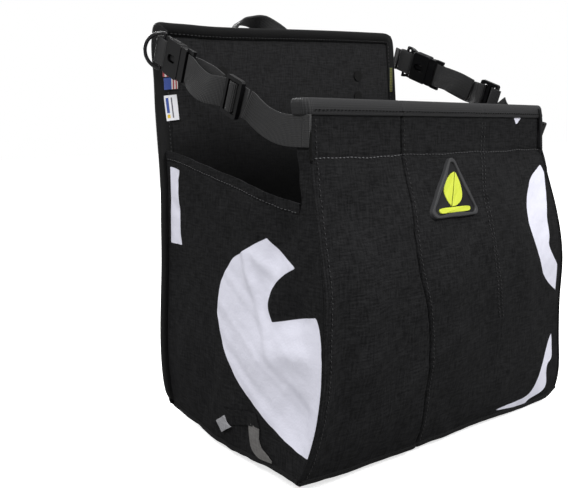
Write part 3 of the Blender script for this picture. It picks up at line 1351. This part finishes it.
def relief(name, rings, material, node, slot):
    """Raised shape built from matching outlines, each at its own height, closed at the top."""
    count = len(rings[0][0])
    points = np.concatenate([on_front(ring, lift) for ring, lift in rings])
    last = len(points) - count
    faces = grid_faces(len(rings), count, wrap=True)
    faces += [(last + j, last + (j + 1) % count, len(points)) for j in range(count)]
    obj = mesh_object(name, np.vstack([points, points[last:].mean(0)]), faces, smooth=False)
    mod = obj.modifiers.new("edge", "BEVEL")
    mod.width = 0.25 * MM
    mod.segments = 2
    dress(obj, "bag_front", material, nodes=[node], slot=slot)


def shrink(outline, amount):
    """Outline drawn in towards its middle by an amount."""
    outline = np.asarray(outline, float)
    centre = outline.mean(0)
    ray = outline - centre
    size = np.linalg.norm(ray, axis=1)[:, None]
    return centre + ray * (size - amount) / size


def leaf_shapes(middle, lean):
    """Two halves of a leaf either side of a thin gap, leaning, about a middle."""
    shapes = []
    for part in (-1, 1):
        outer = [
            (part * (0.8 + 12.4 * math.sin(math.pi * k**0.85) ** 0.85), -19 + 38 * k)
            for k in np.linspace(0, 1, 24)
        ]
        half = outer + [(part * 0.8, -19 + 38 * k) for k in np.linspace(1, 0, 14)[1:-1]]
        x, z = np.array(half[::part]).T
        c, s = math.cos(lean), math.sin(lean)
        shapes.append(np.stack([x * c + z * s, z * c - x * s], -1) * (0.90, 0.86) + middle)
    return shapes


def badge():
    """Rubber triangle with a raised rim, a dark plate, a leaf and a bar below it."""
    full = rounded(BADGE, 5.0)
    rim = shrink(full, 4.2)
    plate = shrink(full, 3.9)
    top = [(shrink(full, 0.7), 3.7), (shrink(rim, -0.6), 3.7)]
    rings = [(full, -0.4), (full, 3.0), *top, (rim, 3.2), (rim, 1.2)]
    relief("badge_rim", rings, rubber, "badge", "badge_rubber")
    relief("badge_plate", [(plate, 0.4), (plate, 2.2)], black_rubber, "badge", "badge_rubber")
    angles = np.linspace(0, 2 * math.pi, 48, endpoint=False)
    wide = np.sign(np.cos(angles)) * np.abs(np.cos(angles)) ** 0.35
    high = np.sign(np.sin(angles)) * np.abs(np.sin(angles)) ** 0.5
    bar = np.stack([158.0 + 21.6 * wide, 205.2 + 2.4 * high], -1)
    for i, shape in enumerate([*leaf_shapes((161.6, 223.4), math.radians(24)), bar]):
        rings = [(shape, 1.6), (shape, 2.9), (shrink(shape, 0.35), 3.2)]
        relief("badge_leaf_%d" % i, rings, lime, "badge_emblem", "badge_accent")


badge()


# ---------------------------------------------------------------- floor, light and camera
def studio():
    """Floor, sky and lamps, none of them part of the bag."""
    mat, tree, bsdf = new_material("studio_floor")
    seen = node(tree, "ShaderNodeLightPath").outputs["Is Camera Ray"]
    colour = mix_colour(tree, seen, (0.25, 0.25, 0.25), (0.93, 0.93, 0.93))
    glow = maths(tree, "MULTIPLY", seen, 0.70)
    surface(tree, bsdf, Base_Color=colour, Roughness=0.9)
    surface(tree, bsdf, Emission_Color=(1.0, 1.0, 1.0), Emission_Strength=glow)
    bpy.ops.mesh.primitive_plane_add(size=14, location=(0, 0, -0.0185))
    ground = bpy.context.object
    ground.name = "studio_floor"
    ground.data.materials.append(mat)
    world = bpy.data.worlds.new("studio")
    world.use_nodes = True
    tree = world.node_tree
    seen = node(tree, "ShaderNodeLightPath").outputs["Is Camera Ray"]
    sky = tree.nodes["Background"]
    link(tree, (1.0, 1.0, 1.0), sky.inputs["Color"])
    link(tree, mix_value(tree, seen, 0.42, 1.0), sky.inputs["Strength"])
    bpy.context.scene.world = world
    for name, place, size, power in (
        ("key", (0.8, -2.2, 2.1), 1.0, 62),
        ("side", (-2.0, -0.5, 2.4), 0.8, 46),
        ("top", (-0.1, 0.4, 2.4), 1.2, 22),
        ("rear", (0.6, 2.7, 1.1), 1.4, 64),
    ):
        lamp = bpy.data.lights.new(name, "AREA")
        lamp.size = size
        lamp.energy = power
        obj = bpy.data.objects.new(name, lamp)
        bpy.context.scene.collection.objects.link(obj)
        obj.location = place
        aim = Vector((0, 0, 0.2)) - Vector(place)
        obj.rotation_euler = aim.to_track_quat("-Z", "Y").to_euler()
    bpy.context.scene.view_settings.view_transform = "Standard"
    bpy.context.scene.view_settings.look = "None"


studio()


def camera():
    """The photo's view."""
    yaw, pitch, roll = 0.6559, 0.16102, -0.02592
    ahead = Vector((math.sin(yaw) * math.cos(pitch), math.cos(yaw) * math.cos(pitch), -math.sin(pitch)))
    right = Vector((math.cos(yaw), -math.sin(yaw), 0))
    up = right.cross(ahead)
    right, up = right * math.cos(roll) + up * math.sin(roll), up * math.cos(roll) - right * math.sin(roll)
    data = bpy.data.cameras.new("camera")
    data.sensor_width = 36.0
    data.lens = 47.36
    data.clip_start = 0.01
    data.clip_end = 40
    obj = bpy.data.objects.new("camera", data)
    bpy.context.scene.collection.objects.link(obj)
    place = Vector((-0.527208, -0.551601, 0.283797))
    rows = [(right[i], up[i], -ahead[i], place[i]) for i in range(3)]
    obj.matrix_world = Matrix(rows + [(0, 0, 0, 1)])
    bpy.context.scene.camera = obj


camera()
